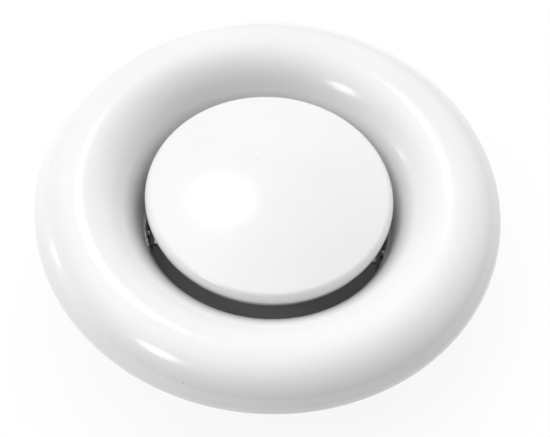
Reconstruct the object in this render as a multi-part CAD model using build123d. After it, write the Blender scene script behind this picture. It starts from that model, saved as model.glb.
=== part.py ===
from build123d import *
import math
import os

# Ceiling disc valve, nominal duct size 100 mm, in millimetres.
# The origin is on the valve's axis, in the ceiling plane: the back of the collar's flange and
# the rolled edge of the ring lie at z = 0. +Z points out of the face, away from the ceiling.

# Valve ring: a pressed shell that rises from its outer edge to a crest and rolls into a throat
RING_RADIUS = 69.0
CREST_RADIUS = 55.4
CREST_HEIGHT = 12.4
THROAT_RADIUS = 36.2
THROAT_Z = -11.2
NECK_END_Z = -25.0
RING_SHEET = 0.9
SKIRT_HEIGHT = 2.0
EDGE_CURL_RADIUS = 1.3

# Mounting collar: a tube that slips into the duct, welded to a flange screwed to the ceiling
COLLAR_RADIUS = 49.5
COLLAR_SHEET = 0.9
COLLAR_DEPTH = 32.0
FLANGE_RADIUS = 57.0
FLANGE_NECK = 0.6
FLANGE_HOLE_COUNT = 4
FLANGE_HOLE_RADIUS = 2.0
FLANGE_HOLE_PCD = 107.0
BEAD_Z = -28.0
BEAD_RADIUS = 0.7

# Foam gasket in the hollow of the ring, bearing on the ceiling
GASKET_INNER_RADIUS = 58.2
GASKET_OUTER_RADIUS = 65.8
GASKET_TOP_Z = 8.2

# Central disc: a face shell with a rolled edge, closed behind by a pan
DISC_RADIUS = 36.6
DISC_EDGE_Z = 8.6
DISC_DOME = 3.4
DISC_CORNER_RADIUS = 2.5
DISC_SHEET = 0.9
DISC_LIP = 0.9
PAN_GAP = 0.15
PAN_SHEET = 0.8
PAN_STEP = 0.4
PAN_HEM = 3.0
PAN_UPSTAND = 0.5

# Spindle, M6 with 1 mm pitch, and what is on it
SPINDLE_RADIUS = 3.0
RUNNING_CLEARANCE = 0.05
DISC_CLOSING_TRAVEL = 9.8
DISC_OPENING_TRAVEL = 5.0
LOCK_NUT_TRAVEL = 2.5
MOVING_GAP = 0.3
HUB_FLANGE_RADIUS = 10.0
HUB_FLANGE_HEIGHT = 1.2
HUB_RADIUS = 5.5
HUB_DEPTH = 2.6
NUT_ACROSS_FLATS = 10.0
NUT_HEIGHT = 3.2
NUT_CHAMFER = 0.5
WASHER_RADIUS = 6.0
WASHER_BORE_RADIUS = 3.2
STOP_WASHER_HEIGHT = 1.2
LOCK_WASHER_HEIGHT = 1.0
CLIP_RADIUS = 4.8
CLIP_HEIGHT = 0.7
CLIP_MOUTH = 3.6
GROOVE_RADIUS = 2.4
SPINDLE_TAIL = 0.8
SPINDLE_CHAMFER = 0.5

# Crossbar riveted inside the neck, with the threaded bush in its middle
CROSSBAR_WIDTH = 14.0
CROSSBAR_SHEET = 1.5
CROSSBAR_BEND = 2.0
CROSSBAR_LEG = 9.8
BUSH_FLANGE_RADIUS = 6.5
BUSH_FLANGE_HEIGHT = 0.8
BUSH_RADIUS = 4.5
BUSH_SWAGE_RADIUS = 5.4
BUSH_SWAGE_HEIGHT = 0.8
BUSH_TAIL = 2.5

# Three leaf springs riveted outside the neck, bearing on the inside of the collar
SPRING_COUNT = 3
SPRING_FIRST_ANGLE = 90.0
SPRING_WIDTH = 10.0
SPRING_SHEET = 0.6
SPRING_TOP_Z = -15.0
SPRING_TIP_Z = -8.0
SPRING_SHOULDER_Z = -10.5
SPRING_SHOULDER_RADIUS = 47.7
SPRING_BEND = 1.6
SPRING_COLLAR_RUN = 0.7

# Rivets
RIVET_RADIUS = 1.6
RIVET_HEAD_RADIUS = 2.9
RIVET_HEAD_HEIGHT = 1.1
RIVET_Z = -20.0
HUB_RIVET_RADIUS = 0.9
HUB_RIVET_HEAD_RADIUS = 1.6
HUB_RIVET_HEAD_HEIGHT = 0.6
HUB_RIVET_CIRCLE = 7.8
HUB_RIVET_COUNT = 3
HUB_RIVET_FIRST_ANGLE = 90.0

# Foam pad inside the disc
PAD_INNER_RADIUS = 12.0
PAD_OUTER_RADIUS = 32.0
PAD_CLEARANCE = 0.2

# Heights worked out from the driving dimensions, from the face towards the duct
CORNER_CENTRE_RADIUS = DISC_RADIUS - DISC_CORNER_RADIUS
CORNER_CENTRE_Z = DISC_EDGE_Z - DISC_CORNER_RADIUS
LIP_END_Z = CORNER_CENTRE_Z - DISC_LIP
PAN_TOP_Z = LIP_END_Z - PAN_GAP
PAN_BACK_Z = PAN_TOP_Z - PAN_SHEET
HUB_END_Z = PAN_BACK_Z - HUB_DEPTH
HUB_NUT_END_Z = HUB_END_Z - NUT_HEIGHT
STOP_WASHER_END_Z = HUB_NUT_END_Z - STOP_WASHER_HEIGHT
BUSH_TOP_Z = STOP_WASHER_END_Z - DISC_CLOSING_TRAVEL - MOVING_GAP
CROSSBAR_TOP_Z = BUSH_TOP_Z - BUSH_FLANGE_HEIGHT
CROSSBAR_BACK_Z = CROSSBAR_TOP_Z - CROSSBAR_SHEET
BUSH_END_Z = CROSSBAR_BACK_Z - BUSH_TAIL
LOCK_WASHER_END_Z = BUSH_END_Z - LOCK_WASHER_HEIGHT
LOCK_NUT_END_Z = LOCK_WASHER_END_Z - NUT_HEIGHT
CLIP_TOP_Z = LOCK_NUT_END_Z - LOCK_NUT_TRAVEL - DISC_OPENING_TRAVEL - MOVING_GAP
SPINDLE_END_Z = CLIP_TOP_Z - CLIP_HEIGHT - SPINDLE_TAIL
SPINDLE_TOP_Z = PAN_TOP_Z + HUB_FLANGE_HEIGHT
NECK_OUTER_RADIUS = THROAT_RADIUS + RING_SHEET


def tube(inner_radius, outer_radius, low_z, high_z):
    """A plain ring about the Z axis between two heights."""
    height = high_z - low_z
    solid = Cylinder(outer_radius, height) - Cylinder(inner_radius, height)
    return Pos(0, 0, (low_z + high_z) / 2) * solid


def turned(*edges):
    """The solid swept by a closed outline in the XZ plane about the Z axis."""
    return revolve(make_face(Wire(list(edges))), Axis.Z)


def arc(centre, radius, start, end):
    """A circular arc in the XZ plane, angles in degrees from +X towards +Z."""
    edge = CenterArc((0, 0), radius, start_angle=start, arc_size=end - start)
    return Pos(centre[0], 0, centre[1]) * Rot(90, 0, 0) * edge


def ellipse_arc(centre, radius_x, radius_z, start, end):
    """An elliptical arc in the XZ plane, angles in degrees from +X towards +Z."""
    edge = EllipticalCenterArc((0, 0), radius_x, radius_z, start_angle=start, arc_size=end - start)
    return Pos(centre[0], 0, centre[1]) * Rot(90, 0, 0) * edge


def segment(start, end):
    """A straight edge between two (x, z) points of the XZ plane."""
    return Line((start[0], 0, start[1]), (end[0], 0, end[1]))


def strip(points, radii, sheet, width):
    """A bent strip that follows (x, z) points, with a bend radius at each inner corner."""
    path = FilletPolyline(*points, radius=radii)
    section = trace(path, line_width=sheet)
    return Rot(90, 0, 0) * extrude(section, amount=width / 2, both=True)


def around(count, first_angle=0.0):
    """Equally spaced turns about the Z axis."""
    return [Rot(0, 0, first_angle + 360 * index / count) for index in range(count)]


def hex_nut(high_z):
    """A chamfered thin nut, M6, with its upper face at a height."""
    flats = RegularPolygon(NUT_ACROSS_FLATS / 2, 6, major_radius=False)
    prism = Pos(0, 0, high_z - NUT_HEIGHT) * extrude(flats, NUT_HEIGHT)
    corner = NUT_ACROSS_FLATS / math.sqrt(3)
    barrel = Pos(0, 0, high_z - NUT_HEIGHT / 2) * Cylinder(corner, NUT_HEIGHT)
    barrel = chamfer(barrel.edges().filter_by(GeomType.CIRCLE), NUT_CHAMFER)
    bore = Pos(0, 0, high_z) * Cylinder(SPINDLE_RADIUS + RUNNING_CLEARANCE, 3 * NUT_HEIGHT)
    return (prism & barrel) - bore


def radial_rivet(grip_start, grip_end):
    """A rivet along +X through everything between two radii, with a domed head at each end."""
    cap_sphere = (RIVET_HEAD_RADIUS**2 + RIVET_HEAD_HEIGHT**2) / (2 * RIVET_HEAD_HEIGHT)
    sunk = cap_sphere - RIVET_HEAD_HEIGHT
    lean = math.degrees(math.asin(RIVET_HEAD_RADIUS / cap_sphere))
    rivet = turned(
        arc((0, grip_start + sunk), cap_sphere, -90, lean - 90),
        segment((RIVET_HEAD_RADIUS, grip_start), (RIVET_RADIUS, grip_start)),
        segment((RIVET_RADIUS, grip_start), (RIVET_RADIUS, grip_end)),
        segment((RIVET_RADIUS, grip_end), (RIVET_HEAD_RADIUS, grip_end)),
        arc((0, grip_end - sunk), cap_sphere, 90 - lean, 90),
        segment((0, grip_end + RIVET_HEAD_HEIGHT), (0, grip_start - RIVET_HEAD_HEIGHT)),
    )
    return Pos(0, 0, RIVET_Z) * Rot(0, 90, 0) * rivet


def rivet_hole(radius):
    """A cutter for a rivet's shank, along +X through the wall at a radius."""
    return Pos(radius, 0, RIVET_Z) * Rot(0, 90, 0) * Cylinder(RIVET_RADIUS, 4 * RING_SHEET)


def crossbar_sides():
    return around(2)


def spring_places():
    return around(SPRING_COUNT, SPRING_FIRST_ANGLE)


def hub_rivet_places():
    return [turn * Pos(HUB_RIVET_CIRCLE, 0, 0) for turn in around(HUB_RIVET_COUNT, HUB_RIVET_FIRST_ANGLE)]


def valve_ring():
    """Rolled edge, skirt, crest, throat and neck, one thickness of sheet all the way."""
    curl_centre = (RING_RADIUS - EDGE_CURL_RADIUS, EDGE_CURL_RADIUS)
    curl_inner = EDGE_CURL_RADIUS - RING_SHEET
    curl_end = RING_RADIUS - 2 * EDGE_CURL_RADIUS
    skirt_centre = (CREST_RADIUS, SKIRT_HEIGHT)
    throat_centre = (CREST_RADIUS, THROAT_Z)
    outer_width = RING_RADIUS - CREST_RADIUS
    outer_rise = CREST_HEIGHT - SKIRT_HEIGHT
    throat_width = CREST_RADIUS - THROAT_RADIUS
    throat_rise = CREST_HEIGHT - THROAT_Z
    skirt_inner = RING_RADIUS - RING_SHEET
    shell = turned(
        arc(curl_centre, EDGE_CURL_RADIUS, -180, 0),
        segment((RING_RADIUS, EDGE_CURL_RADIUS), (RING_RADIUS, SKIRT_HEIGHT)),
        ellipse_arc(skirt_centre, outer_width, outer_rise, 0, 90),
        ellipse_arc(throat_centre, throat_width, throat_rise, 90, 180),
        segment((THROAT_RADIUS, THROAT_Z), (THROAT_RADIUS, NECK_END_Z)),
        segment((THROAT_RADIUS, NECK_END_Z), (NECK_OUTER_RADIUS, NECK_END_Z)),
        segment((NECK_OUTER_RADIUS, NECK_END_Z), (NECK_OUTER_RADIUS, THROAT_Z)),
        ellipse_arc(throat_centre, throat_width - RING_SHEET, throat_rise - RING_SHEET, 90, 180),
        ellipse_arc(skirt_centre, outer_width - RING_SHEET, outer_rise - RING_SHEET, 0, 90),
        segment((skirt_inner, SKIRT_HEIGHT), (skirt_inner, EDGE_CURL_RADIUS)),
        arc(curl_centre, curl_inner, -180, 0),
        segment((curl_end + RING_SHEET, EDGE_CURL_RADIUS), (curl_end, EDGE_CURL_RADIUS)),
    )
    for place in crossbar_sides() + spring_places():
        shell -= place * rivet_hole(NECK_OUTER_RADIUS)
    return shell


def collar_tube():
    """Tube with a stiffening bead rolled inwards near its rear end."""
    bead_outside = Pos(0, 0, BEAD_Z) * Torus(COLLAR_RADIUS, BEAD_RADIUS)
    bead_inside = Pos(0, 0, BEAD_Z) * Torus(COLLAR_RADIUS, BEAD_RADIUS + COLLAR_SHEET)
    inside_only = Pos(0, 0, BEAD_Z) * Cylinder(COLLAR_RADIUS, 4 * COLLAR_SHEET)
    wall = tube(COLLAR_RADIUS - COLLAR_SHEET, COLLAR_RADIUS, -COLLAR_DEPTH, -FLANGE_NECK)
    return wall + (bead_inside & inside_only) - bead_outside


def collar_flange():
    """Flat ring with screw holes, turned down at the mouth where it is welded to the tube."""
    flange = tube(COLLAR_RADIUS - COLLAR_SHEET, FLANGE_RADIUS, 0, COLLAR_SHEET)
    front = flange.edges().filter_by(GeomType.CIRCLE).group_by(Axis.Z)[-1]
    flange = fillet(front, COLLAR_SHEET / 2)
    flange += tube(COLLAR_RADIUS - COLLAR_SHEET, COLLAR_RADIUS, -FLANGE_NECK, 0)
    hole = Cylinder(FLANGE_HOLE_RADIUS, 4 * COLLAR_SHEET)
    for place in around(FLANGE_HOLE_COUNT, 180 / FLANGE_HOLE_COUNT):
        flange -= place * Pos(FLANGE_HOLE_PCD / 2, 0, 0) * hole
    return flange


def foam_gasket():
    """Square-section foam ring under the crown, chamfered where the shell comes down."""
    ring = tube(GASKET_INNER_RADIUS, GASKET_OUTER_RADIUS, 0, GASKET_TOP_Z)
    outer_top = ring.edges().filter_by(GeomType.CIRCLE).group_by(Axis.Z)[-1].sort_by(SortBy.RADIUS)[-1]
    return chamfer(outer_top, RING_SHEET)


def crossbar():
    """Flat strip across the neck with both ends bent back and riveted to the neck."""
    edge_reach = math.sqrt(THROAT_RADIUS**2 - (CROSSBAR_WIDTH / 2)**2)
    side = edge_reach - CROSSBAR_SHEET / 2
    middle_z = CROSSBAR_TOP_Z - CROSSBAR_SHEET / 2
    leg_z = CROSSBAR_TOP_Z - CROSSBAR_LEG
    bar = strip([(-side, leg_z), (-side, middle_z), (side, middle_z), (side, leg_z)],
                CROSSBAR_BEND, CROSSBAR_SHEET, CROSSBAR_WIDTH)
    bar -= Pos(0, 0, middle_z) * Cylinder(BUSH_RADIUS, 4 * CROSSBAR_SHEET)
    for place in crossbar_sides():
        bar -= place * rivet_hole(side)
    return bar


def crossbar_rivets():
    inner_face = math.sqrt(THROAT_RADIUS**2 - (CROSSBAR_WIDTH / 2)**2) - CROSSBAR_SHEET
    rivet = radial_rivet(inner_face, NECK_OUTER_RADIUS)
    return Compound([place * rivet for place in crossbar_sides()])


def spindle_bush():
    """Flanged bush swaged into the crossbar, threaded for the spindle."""
    bush = tube(0, BUSH_FLANGE_RADIUS, CROSSBAR_TOP_Z, BUSH_TOP_Z)
    bush += tube(0, BUSH_RADIUS, BUSH_END_Z, CROSSBAR_TOP_Z)
    bush += tube(0, BUSH_SWAGE_RADIUS, CROSSBAR_BACK_Z - BUSH_SWAGE_HEIGHT, CROSSBAR_BACK_Z)
    return bush - Pos(0, 0, CROSSBAR_TOP_Z) * Cylinder(SPINDLE_RADIUS + RUNNING_CLEARANCE, COLLAR_DEPTH)


def retaining_spring():
    """Hairpin leaf spring at +X: leg on the neck, bend at the rear, free leg up to the collar."""
    leg = NECK_OUTER_RADIUS + SPRING_SHEET / 2
    path = [
        (leg, SPRING_TOP_Z),
        (leg, NECK_END_Z),
        (leg + 2 * SPRING_BEND, NECK_END_Z),
        (SPRING_SHOULDER_RADIUS, SPRING_SHOULDER_Z),
        (SPRING_SHOULDER_RADIUS - SPRING_COLLAR_RUN, SPRING_TIP_Z),
    ]
    spring = strip(path, SPRING_BEND * 0.6, SPRING_SHEET, SPRING_WIDTH)
    return spring - Pos(leg, 0, RIVET_Z) * Rot(0, 90, 0) * Cylinder(RIVET_RADIUS, 2 * SPRING_SHEET)


def spring_rivets():
    inner_seat = math.sqrt(THROAT_RADIUS**2 - RIVET_HEAD_RADIUS**2)
    rivet = radial_rivet(inner_seat, NECK_OUTER_RADIUS + SPRING_SHEET)
    return Compound([place * rivet for place in spring_places()])


def disc_face():
    """Slightly domed face that blends into the corner and a short lip, open behind."""
    blend = (CORNER_CENTRE_RADIUS**2 + DISC_DOME**2) / (2 * DISC_DOME)
    dome_radius = blend + DISC_CORNER_RADIUS
    dome_centre = (0, DISC_EDGE_Z + DISC_DOME - dome_radius)
    lean = math.degrees(math.acos(CORNER_CENTRE_RADIUS / blend))
    corner_centre = (CORNER_CENTRE_RADIUS, CORNER_CENTRE_Z)
    lip_inner = DISC_RADIUS - DISC_SHEET
    apex_z = DISC_EDGE_Z + DISC_DOME
    return turned(
        arc(dome_centre, dome_radius, lean, 90),
        arc(corner_centre, DISC_CORNER_RADIUS, 0, lean),
        segment((DISC_RADIUS, CORNER_CENTRE_Z), (DISC_RADIUS, LIP_END_Z)),
        segment((DISC_RADIUS, LIP_END_Z), (lip_inner, LIP_END_Z)),
        segment((lip_inner, LIP_END_Z), (lip_inner, CORNER_CENTRE_Z)),
        arc(corner_centre, DISC_CORNER_RADIUS - DISC_SHEET, 0, lean),
        arc(dome_centre, dome_radius - DISC_SHEET, lean, 90),
        segment((0, apex_z - DISC_SHEET), (0, apex_z)),
    )


def disc_back_pan():
    """Rear plate of the disc, with a folded rim under the lip and an upstand inside it."""
    pan_radius = DISC_RADIUS - PAN_STEP
    pan = tube(HUB_RADIUS, pan_radius, PAN_BACK_Z, PAN_TOP_Z)
    pan += tube(pan_radius - PAN_HEM, pan_radius, PAN_BACK_Z - PAN_SHEET, PAN_BACK_Z)
    rim = pan.edges().filter_by(GeomType.CIRCLE).sort_by(SortBy.RADIUS)[-2:]
    pan = fillet(rim, PAN_SHEET * 0.9)
    upstand_radius = DISC_RADIUS - DISC_SHEET
    pan += tube(upstand_radius - PAN_SHEET, upstand_radius, PAN_TOP_Z, PAN_TOP_Z + PAN_UPSTAND)
    for place in hub_rivet_places():
        pan -= place * Pos(0, 0, PAN_TOP_Z) * Cylinder(HUB_RIVET_RADIUS, 4 * PAN_SHEET)
    return pan


def disc_hub():
    """Flanged boss riveted to the pan, threaded for the spindle."""
    hub = tube(0, HUB_FLANGE_RADIUS, PAN_TOP_Z, PAN_TOP_Z + HUB_FLANGE_HEIGHT)
    hub += tube(0, HUB_RADIUS, HUB_END_Z, PAN_TOP_Z)
    hub -= Pos(0, 0, PAN_TOP_Z) * Cylinder(SPINDLE_RADIUS, COLLAR_DEPTH)
    for place in hub_rivet_places():
        hub -= place * Pos(0, 0, PAN_TOP_Z) * Cylinder(HUB_RIVET_RADIUS, 4 * HUB_FLANGE_HEIGHT)
    return hub


def hub_rivets():
    """Small rivets that hold the hub's flange to the pan."""
    top_z = PAN_TOP_Z + HUB_FLANGE_HEIGHT
    rivet = tube(0, HUB_RIVET_RADIUS, PAN_BACK_Z, top_z)
    rivet += tube(0, HUB_RIVET_HEAD_RADIUS, PAN_BACK_Z - HUB_RIVET_HEAD_HEIGHT, PAN_BACK_Z)
    rivet += tube(0, HUB_RIVET_HEAD_RADIUS, top_z, top_z + HUB_RIVET_HEAD_HEIGHT)
    return Compound([place * rivet for place in hub_rivet_places()])


def sound_pad():
    """Foam ring between the pan and the face, which keeps the disc from drumming."""
    top_z = CORNER_CENTRE_Z + DISC_CORNER_RADIUS - DISC_SHEET - PAD_CLEARANCE
    return tube(PAD_INNER_RADIUS, PAD_OUTER_RADIUS, PAN_TOP_Z, top_z)


def spindle():
    """Screwed rod fixed in the hub, with a groove for the stop clip near its rear end."""
    rod = tube(0, SPINDLE_RADIUS, SPINDLE_END_Z, SPINDLE_TOP_Z)
    rod = chamfer(rod.edges().filter_by(GeomType.CIRCLE), SPINDLE_CHAMFER)
    return rod - tube(GROOVE_RADIUS, 2 * SPINDLE_RADIUS, CLIP_TOP_Z - CLIP_HEIGHT, CLIP_TOP_Z)


def spindle_stop_clip():
    """Spring clip in the spindle's groove, open on one side, which stops the disc coming off."""
    clip = tube(GROOVE_RADIUS, CLIP_RADIUS, CLIP_TOP_Z - CLIP_HEIGHT, CLIP_TOP_Z)
    mouth = Box(CLIP_MOUTH, 2 * CLIP_RADIUS, 4 * CLIP_HEIGHT)
    return clip - Pos(0, CLIP_RADIUS, CLIP_TOP_Z) * mouth


def hub_nut():
    return hex_nut(HUB_END_Z)


def lock_nut():
    return hex_nut(LOCK_WASHER_END_Z)


def stop_washer():
    return tube(WASHER_BORE_RADIUS, WASHER_RADIUS, STOP_WASHER_END_Z, HUB_NUT_END_Z)


def lock_washer():
    return tube(WASHER_BORE_RADIUS, WASHER_RADIUS, LOCK_WASHER_END_Z, BUSH_END_Z)


os.makedirs("parts", exist_ok=True)
nodes = {
    "collar_tube": collar_tube(),
    "collar_flange": collar_flange(),
    "valve_ring": valve_ring(),
    "foam_gasket": foam_gasket(),
    "crossbar": crossbar(),
    "crossbar_rivets": crossbar_rivets(),
    "spindle_bush": spindle_bush(),
    "spring_rivets": spring_rivets(),
    "stop_washer": stop_washer(),
    "disc_face": disc_face(),
    "disc_back_pan": disc_back_pan(),
    "disc_hub": disc_hub(),
    "hub_rivets": hub_rivets(),
    "hub_nut": hub_nut(),
    "sound_pad": sound_pad(),
    "spindle": spindle(),
    "spindle_stop_clip": spindle_stop_clip(),
    "lock_washer": lock_washer(),
    "lock_nut": lock_nut(),
}
for number, place in enumerate(spring_places(), start=1):
    nodes[f"retaining_spring_{number}"] = place * retaining_spring()
for name, shape in nodes.items():
    export_step(shape, f"parts/{name}.step")
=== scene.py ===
import math

import bmesh
import bpy
from mathutils import Matrix, Vector, noise


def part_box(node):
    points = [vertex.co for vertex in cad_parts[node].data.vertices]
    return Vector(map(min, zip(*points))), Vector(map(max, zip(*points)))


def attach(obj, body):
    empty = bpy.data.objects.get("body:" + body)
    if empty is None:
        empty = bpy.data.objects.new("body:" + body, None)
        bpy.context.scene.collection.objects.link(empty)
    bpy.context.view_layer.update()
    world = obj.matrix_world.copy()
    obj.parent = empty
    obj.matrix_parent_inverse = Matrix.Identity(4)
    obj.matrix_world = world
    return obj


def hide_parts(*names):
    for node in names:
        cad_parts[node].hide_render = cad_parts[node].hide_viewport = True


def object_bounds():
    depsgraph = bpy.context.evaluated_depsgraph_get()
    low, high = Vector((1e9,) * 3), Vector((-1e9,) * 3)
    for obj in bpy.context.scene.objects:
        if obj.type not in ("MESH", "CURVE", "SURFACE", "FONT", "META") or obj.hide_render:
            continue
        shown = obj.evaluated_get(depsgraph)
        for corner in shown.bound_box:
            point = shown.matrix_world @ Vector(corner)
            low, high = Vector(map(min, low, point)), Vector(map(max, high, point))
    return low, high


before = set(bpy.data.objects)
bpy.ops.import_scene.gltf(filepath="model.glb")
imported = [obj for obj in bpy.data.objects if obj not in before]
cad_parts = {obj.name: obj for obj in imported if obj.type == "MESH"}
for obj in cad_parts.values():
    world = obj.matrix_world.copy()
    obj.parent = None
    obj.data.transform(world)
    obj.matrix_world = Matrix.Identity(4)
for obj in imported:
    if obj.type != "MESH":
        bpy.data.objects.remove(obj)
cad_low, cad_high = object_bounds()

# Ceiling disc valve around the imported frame. Meshes are made in millimetres and scaled to metres
# when they are finished. +Z points out of the valve's face, and the face looks up.

MM = 0.001
TURN = 2 * math.pi
SEGMENTS = 320
SMALL_SEGMENTS = 96
SHARP_ANGLE = math.radians(38)
WELD_DISTANCE = 1e-4
FLAT_NORMAL = 1 - 1e-7

# Ring and disc sections, in millimetres
SHEET = 0.9
CREST_RADIUS = 55.4
THROAT_RADIUS = 36.2
THROAT_Z = -11.2
SKIRT_HEIGHT = 2.0
EDGE_CURL_RADIUS = 1.3
DISC_DOME = 3.4
DISC_CORNER_RADIUS = 2.5
PAN_SHEET = 0.8
PAN_HEM = 3.0
UPSTAND_RADIUS = 35.7

# Collar
COLLAR_SHEET = 0.9
BEAD_Z = -28.0
BEAD_RADIUS = 0.7
HOLE_RADIUS = 2.0
HOLE_CIRCLE_RADIUS = 53.5
HOLE_COUNT = 4

# Spindle and what is on it
PITCH = 1.0
THREAD_DEPTH = 0.6
GROOVE_RADIUS = 2.4
BORE_RADIUS = 3.05
WASHER_BORE_RADIUS = 3.2
HUB_RADIUS = 5.5
NUT_FLATS = 10.0
NUT_CHAMFER = 0.5
CLIP_MOUTH = 3.6

# Strips and rivets
CROSSBAR_WIDTH = 14.0
CROSSBAR_SHEET = 1.5
CROSSBAR_BEND = 2.0
BUSH_RADIUS = 4.5
BUSH_SWAGE_RADIUS = 5.4
BUSH_FLANGE_HEIGHT = 0.8
BUSH_SWAGE_HEIGHT = 0.8
BUSH_TAIL = 2.5
SPRING_WIDTH = 10.0
SPRING_SHEET = 0.6
SPRING_TOP_Z = -15.0
SPRING_SHOULDER = (47.7, -10.5)
SPRING_TIP = (47.0, -8.0)
SPRING_BEND = 1.6
RIVET_Z = -20.0
RIVET_RADIUS = 1.6
RIVET_HEAD_RADIUS = 2.9
RIVET_HEAD_HEIGHT = 1.1
MANDREL_RADIUS = 0.8
MANDREL_DEPTH = 0.45
HUB_RIVET_CIRCLE = 7.8
HUB_RIVET_RADIUS = 0.9
HUB_RIVET_HEAD_RADIUS = 1.6
HUB_RIVET_HEAD_HEIGHT = 0.6
EDGE_SOFTNESS = 0.15
CROSSBAR_TIP_RADIUS = 2.5
SPRING_TIP_RADIUS = 1.5
CROSSBAR_ENDS = (0, 180)
THIRDS = (90, 210, 330)

# Foam
GASKET_INNER_RADIUS = 58.2
GASKET_CHAMFER = 0.9
PAD_INNER_RADIUS = 12.0
FOAM_DEPTH = 0.18
FOAM_SINK = 0.04
FOAM_LUMP = 0.9
FOAM_CELL = 0.5

# Camera: where it looks from, in degrees, metres and millimetres
CAMERA_ELEVATION = 55.75
CAMERA_ROLL = 4.8
CAMERA_DISTANCE = 0.470
CAMERA_TARGET = (0.0022, -0.0036, 0.0)
CAMERA_LENS = 103.8
SENSOR_WIDTH = 36.0


# ------------------------------------------------------------------ outlines

def reach(node):
    """Outer radius of a round node, in millimetres."""
    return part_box(node)[1].x / MM


def top(node):
    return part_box(node)[1].z / MM


def bottom(node):
    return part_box(node)[0].z / MM


def arc(centre, radius_x, radius_z, start, end, steps):
    """Points of a circular or elliptical arc in the (radius, height) plane, angles in degrees."""
    points = []
    for step in range(steps + 1):
        angle = math.radians(start + (end - start) * step / steps)
        points.append((centre[0] + radius_x * math.cos(angle), centre[1] + radius_z * math.sin(angle)))
    return points


def corner_points(before, here, after, radius, steps):
    """Points that round one corner of an outline."""
    before, here, after = Vector(before), Vector(here), Vector(after)
    back, ahead = before - here, after - here
    half = back.angle(ahead) / 2
    cut = min(radius / math.tan(half), back.length * 0.49, ahead.length * 0.49)
    bend = cut * math.tan(half)
    centre = here + (back.normalized() + ahead.normalized()).normalized() * bend / math.sin(half)
    first = (here + back.normalized() * cut - centre).normalized()
    last = (here + ahead.normalized() * cut - centre).normalized()
    return [tuple(centre + first.slerp(last, step / steps) * bend) for step in range(steps + 1)]


def rounded(corners, radius=EDGE_SOFTNESS, steps=3):
    """A closed outline with every corner off the axis rounded by the same radius."""
    points = []
    for index, here in enumerate(corners):
        if here[0] < WELD_DISTANCE:
            points.append(here)
            continue
        after = corners[(index + 1) % len(corners)]
        points += corner_points(corners[index - 1], here, after, radius, steps)
    return points


def bent(corners, radius, steps=8):
    """An open path with every inner corner rounded."""
    points = [corners[0]]
    for before, here, after in zip(corners, corners[1:], corners[2:]):
        points += corner_points(before, here, after, radius, steps)
    return points + [corners[-1]]


def ring_section(inner, outer, low, high):
    return [(inner, low), (outer, low), (outer, high), (inner, high)]


# ------------------------------------------------------------------ meshes

def bridge(bm, rings, closed):
    """Faces between neighbouring rings of vertices, a ring of one vertex being a tip."""
    following = rings[1:] + rings[:1] if closed else rings[1:]
    for low, high in zip(rings, following):
        count = max(len(low), len(high))
        if count == 1:
            continue
        for step in range(count):
            after = (step + 1) % count
            corners = (low[step % len(low)], low[after % len(low)],
                       high[after % len(high)], high[step % len(high)])
            bm.faces.new(list(dict.fromkeys(corners)))


def circle_of(bm, radius, height, segments):
    if radius < WELD_DISTANCE:
        return [bm.verts.new((0, 0, height))]
    angles = [TURN * step / segments for step in range(segments)]
    return [bm.verts.new((radius * math.cos(a), radius * math.sin(a), height)) for a in angles]


def turn(bm, outline, segments=SEGMENTS):
    """Adds a closed (radius, height) outline turned about the Z axis, and gives back its vertices."""
    rings = [circle_of(bm, radius, height, segments) for radius, height in outline]
    bridge(bm, rings, closed=True)
    return [vertex for ring in rings for vertex in ring]


def finish_mesh(name, bm, body, nodes, material):
    """A finished piece, in metres, that rides on a body and stands for CAD nodes."""
    bmesh.ops.remove_doubles(bm, verts=bm.verts, dist=WELD_DISTANCE)
    bmesh.ops.dissolve_degenerate(bm, edges=bm.edges, dist=WELD_DISTANCE)
    bmesh.ops.recalc_face_normals(bm, faces=bm.faces)
    for face in bm.faces:
        face.smooth = abs(face.normal.z) < FLAT_NORMAL
    for edge in bm.edges:
        edge.smooth = len(edge.link_faces) == 2 and edge.calc_face_angle() < SHARP_ANGLE
    bmesh.ops.scale(bm, vec=(MM, MM, MM), verts=bm.verts)
    mesh = bpy.data.meshes.new(name)
    bm.to_mesh(mesh)
    bm.free()
    piece = bpy.data.objects.new(name, mesh)
    bpy.context.scene.collection.objects.link(piece)
    mesh.materials.append(material)
    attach(piece, body)
    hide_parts(*nodes)
    return piece


def turned(name, outline, body, node, material, segments=SEGMENTS):
    bm = bmesh.new()
    turn(bm, outline, segments)
    return finish_mesh(name, bm, body, [node], material)


def place(bm, vertices, matrix):
    bmesh.ops.transform(bm, matrix=matrix, verts=vertices)


def about_z(degrees):
    return Matrix.Rotation(math.radians(degrees), 4, "Z")


def swept_strip(bm, path, width, sheet, tip_radius):
    """Adds a strip bent along (x, z) points, with softened edges and rounded tip corners."""
    stations = tip_stations(path, tip_radius)
    rings = []
    for index, (point, inset) in enumerate(stations):
        before = stations[max(index - 1, 0)][0]
        after = stations[min(index + 1, len(stations) - 1)][0]
        along = (after - before).normalized()
        across = Vector((-along.y, along.x))
        trim = EDGE_SOFTNESS if index in (0, len(stations) - 1) else 0
        half_width, half_sheet = width / 2 - inset - trim, sheet / 2 - trim
        section = strip_section(half_width, half_sheet)
        rings.append([bm.verts.new((point.x + across.x * n, w, point.y + across.y * n)) for w, n in section])
    bridge(bm, rings, closed=False)
    bm.faces.new(rings[0])
    bm.faces.new(list(reversed(rings[-1])))
    return [vertex for ring in rings for vertex in ring]


def strip_section(half_width, half_sheet):
    """A flat rounded rectangle as (across the width, through the sheet) points."""
    soft = min(EDGE_SOFTNESS, half_sheet * 0.6)
    points = []
    for side, lift, start in ((1, -1, -90), (1, 1, 0), (-1, 1, 90), (-1, -1, 180)):
        centre = (side * (half_width - soft), lift * (half_sheet - soft))
        points += arc(centre, soft, soft, start, start + 90, 3)
    return points


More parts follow.
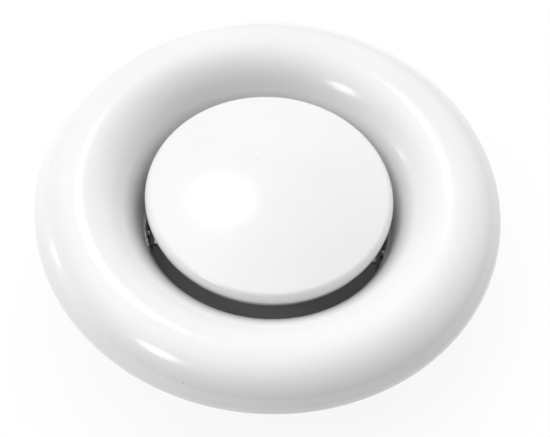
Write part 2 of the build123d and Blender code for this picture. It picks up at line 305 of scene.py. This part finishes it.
def tip_stations(path, tip_radius, steps=6):
    """(point, inset of each edge) along a path, close together where the tips' corners are round."""
    points = [Vector(point) for point in path]
    stations = [(point, 0.0) for point in points[1:-1]]
    for end, inner in ((points[0], points[1]), (points[-1], points[-2])):
        direction = (inner - end).normalized()
        tip = []
        for step in range(steps + 1):
            angle = math.pi / 2 * step / steps
            reach_in = tip_radius * (1 - math.cos(angle))
            tip.append((end + direction * reach_in, tip_radius * (1 - math.sin(angle))))
        stations = tip + stations if end is points[0] else stations + list(reversed(tip))
    return stations


def rivet(bm, grip_start, grip_end, shank, head, height, recessed, segments=SMALL_SEGMENTS):
    """Adds a rivet along +Z with a domed head at each end, and a mandrel recess in the outer one."""
    cap = (head**2 + height**2) / (2 * height)
    edge_angle = math.degrees(math.asin(head / cap))
    outer_centre = grip_end + height - cap
    inner_centre = grip_start - height + cap
    inner_rise = [(max(r, 0), z) for r, z in arc((0, inner_centre), cap, cap, -90, edge_angle - 90, 12)]
    outer_fall = [(max(r, 0), z) for r, z in arc((0, outer_centre), cap, cap, 90 - edge_angle, 90, 12)]
    if recessed:
        outer_fall = [point for point in outer_fall if point[0] > MANDREL_RADIUS * 1.25]
        crown = grip_end + height
        hollow = crown - MANDREL_DEPTH
        outer_fall += [(MANDREL_RADIUS, crown - EDGE_SOFTNESS), (MANDREL_RADIUS * 0.85, hollow), (0, hollow)]
    outline = inner_rise + [(shank, grip_start), (shank, grip_end)] + outer_fall
    return turn(bm, outline, segments)


def cut_away(solid, cutter):
    """The first bmesh less the second, both closed."""
    holders = []
    for bm in (solid, cutter):
        bmesh.ops.recalc_face_normals(bm, faces=bm.faces)
        mesh = bpy.data.meshes.new("work")
        bm.to_mesh(mesh)
        bm.free()
        holder = bpy.data.objects.new("work", mesh)
        bpy.context.scene.collection.objects.link(holder)
        holders.append(holder)
    boolean = holders[0].modifiers.new("cut", "BOOLEAN")
    boolean.operation = "DIFFERENCE"
    boolean.object = holders[1]
    mesh = bpy.data.meshes.new_from_object(holders[0].evaluated_get(bpy.context.evaluated_depsgraph_get()))
    result = bmesh.new()
    result.from_mesh(mesh)
    for holder in holders:
        bpy.data.meshes.remove(holder.data)
    bpy.data.meshes.remove(mesh)
    return result


def plate(outlines, low, high, soft):
    """A bmesh of a flat plate between two heights, from closed (x, y) outlines, holes included."""
    curve = bpy.data.curves.new("plate", "CURVE")
    curve.dimensions = "2D"
    curve.fill_mode = "BOTH"
    for outline in outlines:
        spline = curve.splines.new("POLY")
        spline.points.add(len(outline) - 1)
        for point, (x, y) in zip(spline.points, outline):
            point.co = (x, y, 0, 1)
        spline.use_cyclic_u = True
    curve.extrude = (high - low) / 2 - soft
    curve.bevel_depth = soft
    curve.bevel_resolution = 2
    curve.offset = -soft
    holder = bpy.data.objects.new("plate", curve)
    bpy.context.scene.collection.objects.link(holder)
    mesh = bpy.data.meshes.new_from_object(holder.evaluated_get(bpy.context.evaluated_depsgraph_get()))
    bm = bmesh.new()
    bm.from_mesh(mesh)
    bpy.data.objects.remove(holder)
    bpy.data.curves.remove(curve)
    bpy.data.meshes.remove(mesh)
    place(bm, bm.verts, Matrix.Translation((0, 0, (low + high) / 2)))
    return bm


def hex_nut(bm, low, high, segments=144):
    """Adds a chamfered hexagon nut with a countersunk bore."""
    corner = NUT_FLATS / math.sqrt(3)
    shoulder = corner - NUT_CHAMFER
    sink = THREAD_DEPTH
    rings = [[] for _ in range(8)]
    for step in range(segments):
        angle = TURN * step / segments
        from_flat = (angle + TURN / 12) % (TURN / 6) - TURN / 12
        side = NUT_FLATS / 2 / math.cos((from_flat + TURN / 6) % (TURN / 6) - TURN / 12)
        drop = max(0.0, side - shoulder)
        profile = [(BORE_RADIUS, low + sink), (BORE_RADIUS + sink, low), (min(side, shoulder), low),
                   (side, low + drop), (side, high - drop), (min(side, shoulder), high),
                   (BORE_RADIUS + sink, high), (BORE_RADIUS, high - sink)]
        for ring, (radius, height) in zip(rings, profile):
            ring.append(bm.verts.new((radius * math.cos(angle), radius * math.sin(angle), height)))
    bridge(bm, rings, closed=True)


def thread_radius(radius, angle, height):
    """Radius of a right-handed thread's surface."""
    phase = (height / PITCH - angle / TURN) % 1
    flank = min(max((abs(phase - 0.5) * 2 - 0.125) / 0.625, 0), 1)
    return radius - THREAD_DEPTH * (1 - flank)


def threaded_rod(bm, radius, low, high, groove_low, groove_high, segments=60, rows_per_turn=14):
    """Adds a chamfered screwed rod with one groove."""
    rows = round((high - low) / PITCH * rows_per_turn)
    crease = WELD_DISTANCE * 4
    heights = sorted([low + (high - low) * row / rows for row in range(rows + 1)]
                     + [groove_low, groove_low + crease, groove_high, groove_high - crease])
    rings = [[bm.verts.new((0, 0, low))]]
    for height in heights:
        ring = []
        from_end = min(height - low, high - height)
        for step in range(segments):
            angle = TURN * step / segments
            here = min(thread_radius(radius, angle, height), radius - THREAD_DEPTH + from_end)
            if groove_low < height < groove_high:
                here = GROOVE_RADIUS
            ring.append(bm.verts.new((here * math.cos(angle), here * math.sin(angle), height)))
        rings.append(ring)
    rings.append([bm.verts.new((0, 0, high))])
    bridge(bm, rings, closed=False)


def soften_edges(piece, width=0.00012):
    """Rounds a piece's sharp edges by a small width, in metres."""
    bevel = piece.modifiers.new("edges", "BEVEL")
    bevel.width = width
    bevel.segments = 2
    bevel.limit_method = "ANGLE"
    bevel.angle_limit = SHARP_ANGLE
    bevel.harden_normals = True


# ------------------------------------------------------------------ materials

class Nodes:
    """A procedural material's node tree, with short ways to add what every finish here uses."""

    def __init__(self, name, **sockets):
        self.material = bpy.data.materials.new(name)
        self.material.use_nodes = True
        self.tree = self.material.node_tree
        self.shader = self.tree.nodes["Principled BSDF"]
        for socket, value in sockets.items():
            self.shader.inputs[socket.replace("_", " ")].default_value = value
        self.where = self.add("ShaderNodeTexCoord").outputs["Object"]

    def add(self, kind, **settings):
        node = self.tree.nodes.new(kind)
        for key, value in settings.items():
            setattr(node, key, value)
        return node

    def link(self, source, target):
        self.tree.links.new(source, target)

    def stretched(self, scale):
        mapping = self.add("ShaderNodeMapping")
        mapping.inputs["Scale"].default_value = scale
        self.link(self.where, mapping.inputs["Vector"])
        return mapping.outputs["Vector"]

    def noise(self, millimetres, detail=3.0, roughness=0.5, where=None):
        """Noise whose features are about so many millimetres across."""
        node = self.add("ShaderNodeTexNoise")
        node.inputs["Scale"].default_value = 1 / (millimetres * MM)
        node.inputs["Detail"].default_value = detail
        node.inputs["Roughness"].default_value = roughness
        self.link(where or self.where, node.inputs["Vector"])
        return node.outputs["Fac"]

    def cells(self, millimetres, feature="F1", output="Distance", where=None):
        node = self.add("ShaderNodeTexVoronoi", feature=feature)
        node.inputs["Scale"].default_value = 1 / (millimetres * MM)
        self.link(where or self.where, node.inputs["Vector"])
        return node.outputs[output]

    def remap(self, value, low, high, new_low, new_high):
        node = self.add("ShaderNodeMapRange")
        for key, number in zip(("From Min", "From Max", "To Min", "To Max"), (low, high, new_low, new_high)):
            node.inputs[key].default_value = number
        self.link(value, node.inputs["Value"])
        return node.outputs["Result"]

    def math(self, operation, first, second):
        node = self.add("ShaderNodeMath", operation=operation)
        for socket, value in zip(node.inputs, (first, second)):
            if isinstance(value, (int, float)):
                socket.default_value = value
            else:
                self.link(value, socket)
        return node.outputs["Value"]

    def blend(self, factor, first, second):
        """Mixes two colours, each an (r, g, b) or a socket."""
        node = self.add("ShaderNodeMix", data_type="RGBA")
        self.link(factor, node.inputs["Factor"])
        for socket, value in zip((node.inputs[6], node.inputs[7]), (first, second)):
            if isinstance(value, tuple):
                socket.default_value = (*value, 1)
            else:
                self.link(value, socket)
        return node.outputs[2]

    def colour(self, source):
        self.link(source, self.shader.inputs["Base Color"])

    def rough(self, source):
        self.link(source, self.shader.inputs["Roughness"])

    def bump(self, height, millimetres, strength=1.0, before=None):
        """Bump of a height in millimetres; before is the normal it adds to."""
        node = self.add("ShaderNodeBump")
        node.inputs["Strength"].default_value = strength
        node.inputs["Distance"].default_value = millimetres * MM
        self.link(height, node.inputs["Height"])
        if before:
            self.link(before, node.inputs["Normal"])
        self.link(node.outputs["Normal"], self.shader.inputs["Normal"])
        return node.outputs["Normal"]


def gloss_paint(name, low, high):
    """Stoved gloss powder coat: faint orange peel, slight tone drift and a few dust specks."""
    n = Nodes(name, Coat_Weight=1.0, Coat_Roughness=0.14, Specular_IOR_Level=0.15)
    drift = n.remap(n.noise(22, 2), 0.3, 0.7, 0, 1)
    paint = n.blend(drift, low, high)
    near = n.cells(9)
    pick = n.cells(9, output="Color")
    chosen = n.math("GREATER_THAN", pick, 0.72)
    speck = n.math("MULTIPLY", n.remap(near, 0.016, 0.026, 1, 0), chosen)
    n.colour(n.blend(speck, paint, (0.42, 0.41, 0.39)))
    n.rough(n.remap(n.noise(6, 4), 0.25, 0.75, 0.28, 0.36))
    peel = n.bump(n.noise(1.6, 2, 0.4), 0.004)
    n.bump(speck, 0.03, before=peel)
    return n.material


def galvanised():
    """Zinc-dipped sheet: crystal spangle, rolling streaks and dull patches."""
    n = Nodes("galvanised", Metallic=1.0)
    tone = n.cells(5.5, output="Color")
    fine = n.cells(2.1, output="Color")
    spangle = n.math("ADD", n.math("MULTIPLY", tone, 0.65), n.math("MULTIPLY", fine, 0.35))
    sheet = n.blend(n.remap(spangle, 0.2, 0.8, 0, 1), (0.50, 0.51, 0.53), (0.70, 0.71, 0.72))
    haze = n.remap(n.noise(14, 5, 0.6), 0.45, 0.7, 0, 1)
    n.colour(n.blend(haze, sheet, (0.60, 0.61, 0.61)))
    streaks = n.noise(1.2, 3, where=n.stretched((1, 1, 0.08)))
    n.rough(n.math("ADD", n.remap(spangle, 0.2, 0.8, 0.28, 0.46), n.remap(streaks, 0.3, 0.7, -0.05, 0.07)))
    n.bump(n.math("ADD", n.math("MULTIPLY", spangle, 0.5), n.noise(0.8, 3)), 0.012)
    return n.material


def zinc_plate():
    """Bright zinc plate over turned steel: fine tool marks and a blue-grey cast that wanders."""
    n = Nodes("zinc", Metallic=1.0)
    cast = n.remap(n.noise(3.5, 4, 0.6), 0.35, 0.65, 0, 1)
    plate_colour = n.blend(cast, (0.60, 0.62, 0.65), (0.72, 0.72, 0.70))
    dull = n.remap(n.noise(0.9, 5, 0.65), 0.52, 0.72, 0, 0.6)
    n.colour(n.blend(dull, plate_colour, (0.46, 0.46, 0.46)))
    marks = n.noise(0.5, 4, where=n.stretched((0.25, 0.25, 1.6)))
    n.rough(n.remap(marks, 0.25, 0.75, 0.22, 0.40))
    n.bump(marks, 0.008)
    return n.material


def spring_steel():
    """Tempered strip: blue-brown temper bloom under fine rolling lines."""
    n = Nodes("spring", Metallic=1.0)
    bloom = n.remap(n.noise(7, 3, 0.6), 0.35, 0.68, 0, 1)
    n.colour(n.blend(bloom, (0.30, 0.31, 0.35), (0.43, 0.41, 0.38)))
    lines = n.noise(0.35, 4, where=n.stretched((1, 1, 0.05)))
    n.rough(n.remap(lines, 0.25, 0.75, 0.24, 0.42))
    n.bump(lines, 0.006)
    return n.material


def foam():
    """Dark closed-cell foam: open cut cells of two sizes and a dusty cast."""
    n = Nodes("foam", Sheen_Weight=0.25)
    big = n.cells(0.85)
    small = n.cells(0.34)
    pores = n.math("MINIMUM", n.remap(big, 0.0, 0.5, 0, 1), n.remap(small, 0.0, 0.45, 0.15, 1))
    body = n.blend(pores, (0.012, 0.012, 0.013), (0.062, 0.063, 0.066))
    dust = n.remap(n.noise(9, 4, 0.6), 0.5, 0.75, 0, 0.35)
    n.colour(n.blend(dust, body, (0.12, 0.12, 0.115)))
    n.rough(n.remap(pores, 0, 1, 0.98, 0.86))
    n.bump(pores, 0.22)
    return n.material


def nylon():
    """Natural nylon: milky, slightly translucent, with faint moulding flow."""
    n = Nodes("nylon", Subsurface_Weight=0.15, Subsurface_Scale=0.001)
    flow = n.remap(n.noise(2.5, 3, where=n.stretched((1, 1, 3))), 0.3, 0.7, 0, 1)
    n.colour(n.blend(flow, (0.74, 0.71, 0.63), (0.82, 0.80, 0.74)))
    n.rough(n.remap(n.noise(0.6, 3), 0.3, 0.7, 0.40, 0.52))
    n.bump(n.noise(0.3, 2), 0.006)
    return n.material


PAINT = gloss_paint("white_paint", (0.800, 0.802, 0.806), (0.822, 0.822, 0.820))
# The disc's rear pan gets a mid grey, darker than the white paint, so the gap under the disc reads dark:
# painted shade.
PAN_SHADE_PAINT = gloss_paint("pan_painted_shade", (0.40, 0.40, 0.40), (0.47, 0.47, 0.46))
GALVANISED, ZINC = galvanised(), zinc_plate()
SPRING, FOAM, NYLON = spring_steel(), foam(), nylon()


# ------------------------------------------------------------------ white ring and disc

def make_ring():
    radius, crest, neck_end = reach("valve_ring"), top("valve_ring"), bottom("valve_ring")
    half = SHEET / 2
    curl = (radius - EDGE_CURL_RADIUS, EDGE_CURL_RADIUS)
    skirt, throat = (CREST_RADIUS, SKIRT_HEIGHT), (CREST_RADIUS, THROAT_Z)
    skirt_width, skirt_rise = radius - CREST_RADIUS, crest - SKIRT_HEIGHT
    throat_width, throat_rise = CREST_RADIUS - THROAT_RADIUS, crest - THROAT_Z
    curl_inner = EDGE_CURL_RADIUS - SHEET
    outline = arc(curl, EDGE_CURL_RADIUS, EDGE_CURL_RADIUS, -180, 0, 16)
    outline += arc(skirt, skirt_width, skirt_rise, 0, 90, 40)
    outline += arc(throat, throat_width, throat_rise, 90, 180, 72)
    outline += arc((THROAT_RADIUS + half, neck_end + half), half, half, 180, 360, 8)
    outline += arc(throat, throat_width - SHEET, throat_rise - SHEET, 180, 90, 40)
    outline += arc(skirt, skirt_width - SHEET, skirt_rise - SHEET, 90, 0, 28)
    outline += arc(curl, curl_inner, curl_inner, 0, -180, 10)
    outline += arc((curl[0] - EDGE_CURL_RADIUS + half, EDGE_CURL_RADIUS), half, half * 0.6, 0, 180, 6)
    turned("ring_shell", outline, "valve", "valve_ring", PAINT)


def make_disc_face():
    radius, apex = reach("disc_face"), top("disc_face")
    corner = (radius - DISC_CORNER_RADIUS, apex - DISC_DOME - DISC_CORNER_RADIUS)
    blend = (corner[0]**2 + DISC_DOME**2) / (2 * DISC_DOME)
    dome_radius = blend + DISC_CORNER_RADIUS
    centre = (0, apex - dome_radius)
    lean = math.degrees(math.acos(corner[0] / blend))
    inner_corner, inner_dome = DISC_CORNER_RADIUS - SHEET, dome_radius - SHEET
    lip_middle, half = (radius - SHEET / 2, bottom("disc_face") + SHEET / 2), SHEET / 2
    outline = [(max(r, 0), z) for r, z in arc(centre, dome_radius, dome_radius, 90, lean, 44)]
    outline += arc(corner, DISC_CORNER_RADIUS, DISC_CORNER_RADIUS, lean, 0, 20)
    outline += arc(lip_middle, half, half, 0, -180, 8)
    outline += arc(corner, inner_corner, inner_corner, 0, lean, 10)
    outline += [(max(r, 0), z) for r, z in arc(centre, inner_dome, inner_dome, lean, 90, 20)]
    outline[0], outline[-1] = (0, apex), (0, apex - SHEET)
    turned("disc_front", outline, "disc", "disc_face", PAINT)


def make_disc_pan():
    radius, hem, rise = reach("disc_back_pan"), bottom("disc_back_pan"), top("disc_back_pan")
    back, front = hem + PAN_SHEET, hem + 2 * PAN_SHEET
    fold, inside = radius - PAN_HEM, UPSTAND_RADIUS - PAN_SHEET
    outline = rounded([(HUB_RADIUS, back), (fold, back), (fold, hem), (radius, hem), (radius, front),
                       (UPSTAND_RADIUS, front), (UPSTAND_RADIUS, rise), (inside, rise), (inside, front),
                       (HUB_RADIUS, front)], 0.75, 6)
    # The rear pan takes the darkened grey paint: painted shade in the gap under the disc.
    turned("disc_rear_pan", outline, "disc", "disc_back_pan", PAN_SHADE_PAINT)


# ------------------------------------------------------------------ collar and foam

def make_collar_tube():
    outer, low, mouth = reach("collar_tube"), bottom("collar_tube"), top("collar_tube")
    inner, half = outer - COLLAR_SHEET, COLLAR_SHEET / 2
    inside_bead = BEAD_RADIUS + COLLAR_SHEET
    meet = math.degrees(math.acos(-COLLAR_SHEET / inside_bead))
    outline = [(outer, mouth), (outer, BEAD_Z + 2 * BEAD_RADIUS)]
    outline += arc((outer, BEAD_Z), BEAD_RADIUS, BEAD_RADIUS, 90, 270, 14)
    outline += arc((inner + half, low + half), half, half, 0, -180, 8)
    outline += arc((outer, BEAD_Z), inside_bead, inside_bead, 360 - meet, meet, 18)
    outline += [(inner, mouth)]
    turned("collar_sleeve", outline, "collar", "collar_tube", GALVANISED)


def make_collar_flange():
    outer, sleeve = reach("collar_flange"), reach("collar_tube")
    low, high = bottom("collar_flange"), top("collar_flange")
    inner, half = sleeve - COLLAR_SHEET, COLLAR_SHEET / 2
    outline = [(inner, low), (sleeve, low)] + corner_points((sleeve, low), (sleeve, 0), (outer, 0), 0.1, 3)
    outline += arc((outer - half, half), half, half, -90, 90, 10)
    outline += arc((inner + half, high - half), half, half, 90, 180, 6)
    bm = bmesh.new()
    turn(bm, outline)
    drills = bmesh.new()
    sink = HOLE_RADIUS + EDGE_SOFTNESS
    drill = [(0, low), (HOLE_RADIUS, low), (HOLE_RADIUS, high - EDGE_SOFTNESS),
             (sink, high), (sink, high + 1), (0, high + 1)]
    for hole in range(HOLE_COUNT):
        vertices = turn(drills, drill, 48)
        place(drills, vertices, about_z(360 * (hole + 0.5) / HOLE_COUNT)
              @ Matrix.Translation((HOLE_CIRCLE_RADIUS, 0, 0)))
    finish_mesh("collar_rim", cut_away(bm, drills), "collar", ["collar_flange"], GALVANISED)


def make_foam(name, body, node, inner, top_drop):
    """A foam ring whose cut skin wanders a little inside its solid."""
    outer, low, high = reach(node), bottom(node), top(node)
    corners = [(inner, low), (outer, low), (outer, high - top_drop)]
    corners += [(outer - top_drop, high)] if top_drop else []
    corners += [(inner, high)]
    dense = []
    for here, after in zip(corners, corners[1:] + corners[:1]):
        steps = max(2, round(math.dist(here, after) / FOAM_CELL))
        dense += [tuple(Vector(here).lerp(Vector(after), step / steps)) for step in range(steps)]
    bm = bmesh.new()
    turn(bm, dense, 240)
    bmesh.ops.recalc_face_normals(bm, faces=bm.faces)
    bm.normal_update()
    for vertex in bm.verts:
        sink = FOAM_DEPTH * (0.5 + 0.5 * noise.noise(vertex.co * FOAM_LUMP))
        vertex.co -= vertex.normal * (FOAM_SINK + sink)
    finish_mesh(name, bm, body, [node], FOAM)


# ------------------------------------------------------------------ spindle and its hardware

def make_washer(name, body, node, material):
    section = ring_section(WASHER_BORE_RADIUS, reach(node), bottom(node), top(node))
    turned(name, rounded(section), body, node, material, SMALL_SEGMENTS)


def make_nut(name, body, node):
    bm = bmesh.new()
    hex_nut(bm, bottom(node), top(node))
    soften_edges(finish_mesh(name, bm, body, [node], ZINC))


def make_spindle():
    bm = bmesh.new()
    threaded_rod(bm, reach("spindle"), bottom("spindle"), top("spindle"),
                 bottom("spindle_stop_clip"), top("spindle_stop_clip"))
    finish_mesh("spindle_thread", bm, "disc", ["spindle"], ZINC)


def make_clip():
    outer, mouth = reach("spindle_stop_clip"), CLIP_MOUTH / 2
    start = math.degrees(math.acos(mouth / outer))
    inner_start = math.degrees(math.acos(mouth / GROOVE_RADIUS))
    outline = arc((0, 0), outer, outer, 180 - start, 360 + start, 72)
    outline += arc((0, 0), GROOVE_RADIUS, GROOVE_RADIUS, 360 + inner_start, 180 - inner_start, 48)
    bm = plate([outline], bottom("spindle_stop_clip"), top("spindle_stop_clip"), 0.1)
    finish_mesh("stop_clip", bm, "disc", ["spindle_stop_clip"], SPRING)


def make_hub():
    low, high, flange = bottom("disc_hub"), top("disc_hub"), reach("disc_hub")
    step = bottom("disc_back_pan") + 2 * PAN_SHEET
    thread = reach("spindle")
    outline = rounded([(thread, low), (HUB_RADIUS, low), (HUB_RADIUS, step), (flange, step),
                       (flange, high), (thread, high)], 0.2)
    turned("hub_boss", outline, "disc", "disc_hub", ZINC, SMALL_SEGMENTS)
    bm = bmesh.new()
    for turn_angle in THIRDS:
        vertices = rivet(bm, step - PAN_SHEET, high, HUB_RIVET_RADIUS, HUB_RIVET_HEAD_RADIUS,
                         HUB_RIVET_HEAD_HEIGHT, recessed=False, segments=48)
        place(bm, vertices, about_z(turn_angle) @ Matrix.Translation((HUB_RIVET_CIRCLE, 0, 0)))
    finish_mesh("hub_rivet_set", bm, "disc", ["hub_rivets"], ZINC)


def make_bush():
    low, high, flange = bottom("spindle_bush"), top("spindle_bush"), reach("spindle_bush")
    seat, back = high - BUSH_FLANGE_HEIGHT, low + BUSH_TAIL
    swage = back - BUSH_SWAGE_HEIGHT
    outline = rounded([(BORE_RADIUS, low), (BUSH_RADIUS, low),
                       (BUSH_RADIUS, swage), (BUSH_SWAGE_RADIUS, swage),
                       (BUSH_SWAGE_RADIUS, back), (BUSH_RADIUS, back), (BUSH_RADIUS, seat), (flange, seat),
                       (flange, high), (BORE_RADIUS, high)], 0.22)
    turned("bush", outline, "valve", "spindle_bush", ZINC, SMALL_SEGMENTS)


# ------------------------------------------------------------------ crossbar, springs and their rivets

def make_crossbar():
    side = math.sqrt(THROAT_RADIUS**2 - (CROSSBAR_WIDTH / 2)**2) - CROSSBAR_SHEET / 2
    middle, leg = top("crossbar") - CROSSBAR_SHEET / 2, bottom("crossbar")
    path = bent([(-side, leg), (-side, middle), (side, middle), (side, leg)], CROSSBAR_BEND)
    bm = bmesh.new()
    swept_strip(bm, path, CROSSBAR_WIDTH, CROSSBAR_SHEET, CROSSBAR_TIP_RADIUS)
    finish_mesh("crossbar_strip", bm, "valve", ["crossbar"], GALVANISED)
    bm = bmesh.new()
    for turn_angle in CROSSBAR_ENDS:
        vertices = rivet(bm, side - CROSSBAR_SHEET / 2, THROAT_RADIUS + SHEET,
                         RIVET_RADIUS, RIVET_HEAD_RADIUS, RIVET_HEAD_HEIGHT, recessed=True)
        place(bm, vertices, about_z(turn_angle) @ Matrix.Translation((0, 0, RIVET_Z))
              @ Matrix.Rotation(TURN / 4, 4, "Y"))
    finish_mesh("crossbar_rivet_set", bm, "valve", ["crossbar_rivets"], ZINC)


def make_springs():
    leg = THROAT_RADIUS + SHEET + SPRING_SHEET / 2
    neck_end = bottom("valve_ring")
    path = bent([(leg, SPRING_TOP_Z), (leg, neck_end), (leg + 2 * SPRING_BEND, neck_end),
                 SPRING_SHOULDER, SPRING_TIP], SPRING_BEND * 0.6)
    rivets = bmesh.new()
    for number, turn_angle in enumerate(THIRDS, start=1):
        bm = bmesh.new()
        swept_strip(bm, path, SPRING_WIDTH, SPRING_SHEET, SPRING_TIP_RADIUS)
        place(bm, bm.verts, about_z(turn_angle))
        finish_mesh(f"leaf_spring_{number}", bm, "valve", [f"retaining_spring_{number}"], SPRING)
        seat = math.sqrt(THROAT_RADIUS**2 - RIVET_HEAD_RADIUS**2)
        vertices = rivet(rivets, seat, THROAT_RADIUS + SHEET + SPRING_SHEET, RIVET_RADIUS, RIVET_HEAD_RADIUS,
                         RIVET_HEAD_HEIGHT, recessed=True)
        place(rivets, vertices, about_z(turn_angle) @ Matrix.Translation((0, 0, RIVET_Z))
              @ Matrix.Rotation(TURN / 4, 4, "Y"))
    finish_mesh("spring_rivet_set", rivets, "valve", ["spring_rivets"], ZINC)


make_ring()
make_disc_face()
make_disc_pan()
make_collar_tube()
make_collar_flange()
make_foam("edge_gasket", "valve", "foam_gasket", GASKET_INNER_RADIUS, GASKET_CHAMFER)
make_foam("sound_pad_foam", "disc", "sound_pad", PAD_INNER_RADIUS, 0)
make_washer("stop_ring", "stop_washer", "stop_washer", NYLON)
make_washer("lock_ring", "lock_washer", "lock_washer", ZINC)
make_nut("hub_hex_nut", "disc", "hub_nut")
make_nut("lock_hex_nut", "lock_nut", "lock_nut")
make_spindle()
make_clip()
make_hub()
make_bush()
make_crossbar()
make_springs()


# ------------------------------------------------------------------ floor, light and camera

def stage_material(name, colour, glow):
    """Matt floor paint with a very faint mottle, and a glow that keeps it evenly pale."""
    n = Nodes(name, Roughness=0.9)
    n.shader.inputs["Specular IOR Level"].default_value = 0
    mottle = n.remap(n.noise(60, 3), 0.3, 0.7, 0.99, 1.0)
    n.colour(n.blend(mottle, tuple(c * 0.98 for c in colour), colour))
    n.shader.inputs["Emission Color"].default_value = (1, 1, 1, 1)
    n.shader.inputs["Emission Strength"].default_value = glow
    return n.material


def stage_mesh(name, rings, height, material):
    """A flat floor piece between circles about the axis, radii in metres."""
    bm = bmesh.new()
    circles = [circle_of(bm, radius, height, 96) for radius in rings]
    bridge(bm, circles, closed=False)
    for face in bm.faces:
        if face.normal.z < 0:
            face.normal_flip()
    mesh = bpy.data.meshes.new(name)
    bm.to_mesh(mesh)
    bm.free()
    floor = bpy.data.objects.new(name, mesh)
    bpy.context.scene.collection.objects.link(floor)
    mesh.materials.append(material)
    return floor


FLOOR_GLOW = 0.90
FLOOR_COLOUR = (0.10, 0.10, 0.10)
# Inside the collar the floor loses its even glow and keeps only a faint one. That glow lights the throat
# from below and sets how grey the gap under the disc reads: painted light.
DUCT_COLOUR = (0.50, 0.50, 0.50)
DUCT_PAINTED_GLOW = 0.015
sleeve_radius = reach("collar_tube") * MM
floor_height = cad_low.z
stage_mesh("floor", [sleeve_radius, 0.12, 0.4, 1.5, 6.0, 60.0], floor_height,
           stage_material("floor_paint", FLOOR_COLOUR, FLOOR_GLOW))
stage_mesh("duct_floor", [0.0, sleeve_radius], floor_height,
           stage_material("duct_floor_paint", DUCT_COLOUR, DUCT_PAINTED_GLOW))


def softbox(name, azimuth, elevation, distance, size, power):
    """A round area light that looks at the part, angles in degrees from +X and from the floor."""
    data = bpy.data.lights.new(name, "AREA")
    data.shape = "DISK"
    data.size = size
    data.energy = power
    light = bpy.data.objects.new(name, data)
    turn_angle, lift = math.radians(azimuth), math.radians(elevation)
    direction = Vector((math.cos(turn_angle) * math.cos(lift), math.sin(turn_angle) * math.cos(lift),
                        math.sin(lift)))
    light.location = direction * distance
    light.rotation_euler = direction.to_track_quat("Z", "Y").to_euler()
    bpy.context.scene.collection.objects.link(light)
    return light


# Compact lamps: azimuth, elevation, distance and size in metres, power in watts
LAMPS = {
    "key": (109, 58, 1.2, 0.28, 0.85),
    "left_front": (221, 52, 1.2, 0.28, 1.4),
    "left_low": (174, 15, 1.2, 0.20, 0.4),
}
# Soft glow of the studio's white walls: azimuth, elevation, strength
WALL_GLOW = [
    (144, 62, 1.8), (72, 62, 0.6), (216, 62, 1.0), (0, 90, 0.9),
    (67.5, 34, 1.2), (112.5, 34, 0.5), (22.5, 34, 0.6),
    (180, 6, 1.6), (135, 6, 0.4), (45, 6, 0.3), (90, 6, 0.2),
]
GLOW_FALLOFF = 10.0


def towards(azimuth, elevation):
    turn_angle, lift = math.radians(azimuth), math.radians(elevation)
    return (math.cos(turn_angle) * math.cos(lift), math.sin(turn_angle) * math.cos(lift), math.sin(lift))


def make_studio():
    """A world of broad soft glows that run into each other, like bounced studio light."""
    world = bpy.data.worlds.new("studio")
    world.use_nodes = True
    tree = world.node_tree
    background = tree.nodes["Background"]
    background.inputs["Color"].default_value = (1, 1, 1, 1)
    direction = tree.nodes.new("ShaderNodeTexCoord").outputs["Generated"]
    total = None
    for azimuth, elevation, strength in WALL_GLOW:
        facing = tree.nodes.new("ShaderNodeVectorMath")
        facing.operation = "DOT_PRODUCT"
        facing.inputs[1].default_value = towards(azimuth, elevation)
        tree.links.new(direction, facing.inputs[0])
        ahead = tree.nodes.new("ShaderNodeMath")
        ahead.operation = "MAXIMUM"
        tree.links.new(facing.outputs["Value"], ahead.inputs[0])
        ahead.inputs[1].default_value = 0
        lobe = tree.nodes.new("ShaderNodeMath")
        lobe.operation = "POWER"
        tree.links.new(ahead.outputs["Value"], lobe.inputs[0])
        lobe.inputs[1].default_value = GLOW_FALLOFF
        summed = tree.nodes.new("ShaderNodeMath")
        summed.operation = "MULTIPLY_ADD"
        tree.links.new(lobe.outputs["Value"], summed.inputs[0])
        summed.inputs[1].default_value = strength
        if total:
            tree.links.new(total, summed.inputs[2])
        else:
            summed.inputs[2].default_value = 0
        total = summed.outputs["Value"]
    tree.links.new(total, background.inputs["Strength"])
    bpy.context.scene.world = world


for lamp_name, numbers in LAMPS.items():
    softbox(lamp_name, *numbers)
make_studio()
bpy.context.scene.view_settings.view_transform = "Standard"


def make_camera():
    """A camera above the near edge, rolled a little, as the part is seen by eye."""
    tilt, roll = math.radians(CAMERA_ELEVATION), math.radians(CAMERA_ROLL)
    back = Vector((0, -math.cos(tilt), math.sin(tilt)))
    right = Vector((1, 0, 0))
    up = back.cross(right)
    rolled_right = right * math.cos(roll) + up * math.sin(roll)
    rolled_up = up * math.cos(roll) - right * math.sin(roll)
    data = bpy.data.cameras.new("camera")
    data.lens = CAMERA_LENS
    data.sensor_width = SENSOR_WIDTH
    data.clip_start = 0.01
    data.clip_end = 100
    camera = bpy.data.objects.new("camera", data)
    spin = Matrix((rolled_right, rolled_up, back)).transposed()
    camera.matrix_world = Matrix.Translation(Vector(CAMERA_TARGET) + back * CAMERA_DISTANCE) @ spin.to_4x4()
    bpy.context.scene.collection.objects.link(camera)
    bpy.context.scene.camera = camera


make_camera()
